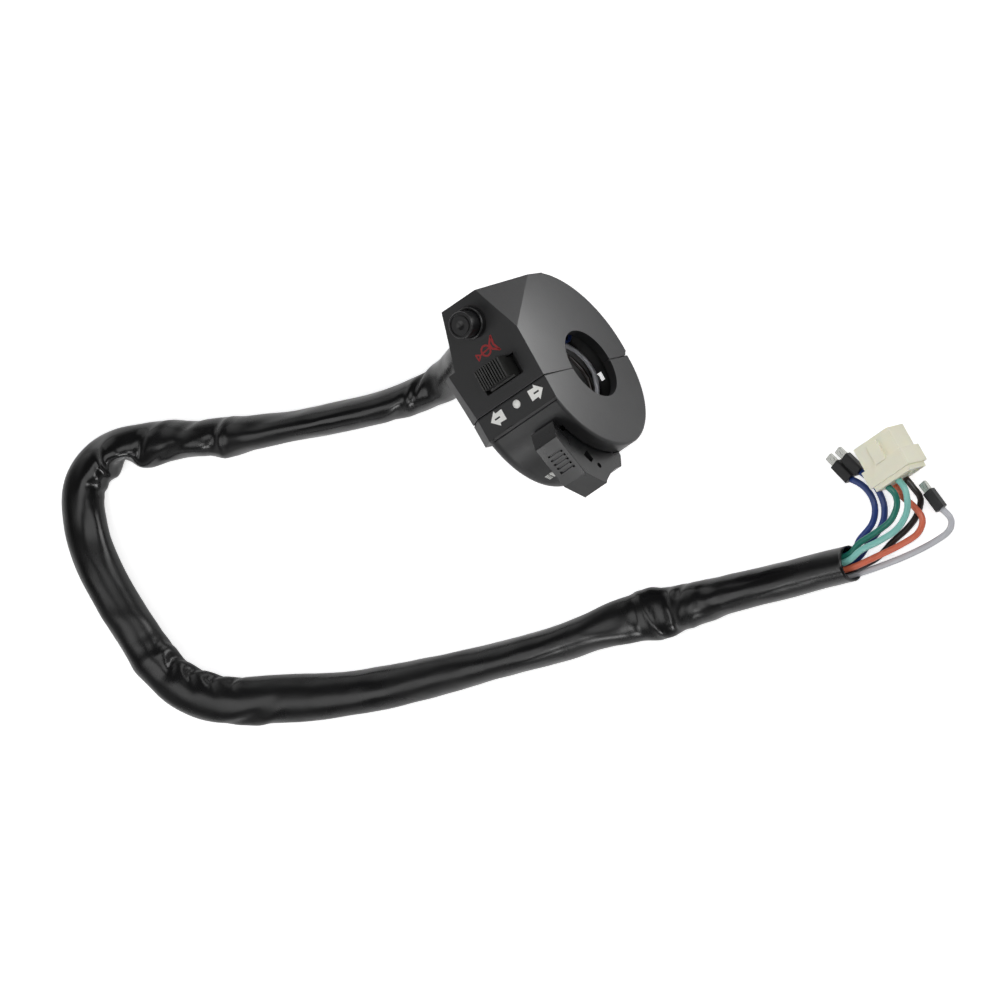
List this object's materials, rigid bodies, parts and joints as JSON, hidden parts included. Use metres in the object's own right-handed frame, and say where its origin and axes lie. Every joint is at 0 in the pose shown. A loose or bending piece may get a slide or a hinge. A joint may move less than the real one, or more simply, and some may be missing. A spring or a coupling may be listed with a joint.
{
  "type": "handlebar switch cluster",
  "caption": "Two-piece handlebar switch case with sprung horn button, turn signal slider, dimmer paddle and a sleeved wiring tail ending in a plug and loose tabs.",
  "frame": {"origin": "centre of the handlebar bore, halfway along the case", "axes": "+X along the handlebar towards the middle of the machine, +Y up when fitted, +Z out of the control face towards the rider; as stored the part lies on its back"},
  "size_m": [0.2645, 0.1661, 0.0574],
  "materials": {
    "case_plastic": "fine textured black moulded nylon",
    "button_plastic": "satin black moulded plastic",
    "knob_plastic": "dark grey moulded plastic",
    "natural_nylon": "unpigmented nylon",
    "phenolic": "phenolic board",
    "brass": "bright stamped brass",
    "zinc_steel": "zinc plated steel",
    "spring_steel": "bright drawn spring wire",
    "rubber": "black moulded rubber",
    "sleeve_vinyl": "glossy black vinyl sleeving",
    "boot_vinyl": "black vinyl boot",
    "wire_blue": "blue vinyl insulation",
    "wire_teal": "teal vinyl insulation",
    "wire_aqua": "light teal vinyl insulation",
    "wire_orange": "orange vinyl insulation",
    "wire_black": "black-brown vinyl insulation",
    "wire_grey": "light grey vinyl insulation",
    "tinned_brass": "tin plated brass"
  },
  "bodies": {
    "case": {"lower_case": "case_plastic", "upper_case": "case_plastic", "clamp_screws": "zinc_steel", "clamp_inserts": "brass", "horn_collar": "button_plastic", "horn_base": "phenolic", "horn_terminals": "brass", "turn_board": "phenolic", "turn_contacts": "brass", "dimmer_pin": "zinc_steel", "dimmer_board": "phenolic", "dimmer_contacts": "brass", "board_screws": "zinc_steel", "cable_grommet": "rubber", "lead_horn_a": "wire_blue", "lead_horn_b": "wire_blue", "lead_left": "wire_teal", "lead_right": "wire_aqua", "lead_flasher": "wire_orange", "lead_high": "wire_grey", "lead_low": "wire_black", "sleeve": "sleeve_vinyl", "wire_blue_a": "wire_blue", "wire_blue_b": "wire_blue", "wire_teal": "wire_teal", "wire_aqua": "wire_aqua", "wire_orange": "wire_orange", "wire_black": "wire_black", "wire_grey": "wire_grey", "connector": "natural_nylon", "connector_terminals": "tinned_brass", "boot_blue_a": "boot_vinyl", "boot_blue_b": "boot_vinyl", "boot_grey": "boot_vinyl", "tab_blue_a": "tinned_brass", "tab_blue_b": "tinned_brass", "tab_grey": "tinned_brass"},
    "horn": {"horn_button": "button_plastic", "horn_contact": "brass", "horn_spring": "spring_steel"},
    "slider": {"turn_knob": "knob_plastic", "turn_carriage": "natural_nylon", "turn_bridge": "brass", "turn_spring": "spring_steel", "turn_ball": "spring_steel"},
    "paddle": {"dimmer_paddle": "button_plastic", "dimmer_bridge": "brass", "dimmer_spring": "spring_steel", "dimmer_ball": "spring_steel"}
  },
  "joints": [
    {"name": "horn_press", "type": "slide", "parent": "case", "child": "horn", "axis": [0, 0, 1], "range_m": [-0.0025, 0], "stiffness_N_per_m": 600, "springref_m": 0.0015, "deforming": ["horn_spring"]},
    {"name": "turn_slide", "type": "slide", "parent": "case", "child": "slider", "axis": [1, 0, 0], "range_m": [-0.0022, 0.0022]},
    {"name": "dimmer_rock", "type": "hinge", "parent": "case", "child": "paddle", "pos_m": [0, 0.013, 0.011], "axis": [1, 0, 0], "range_deg": [-8, 5]}
  ]
}
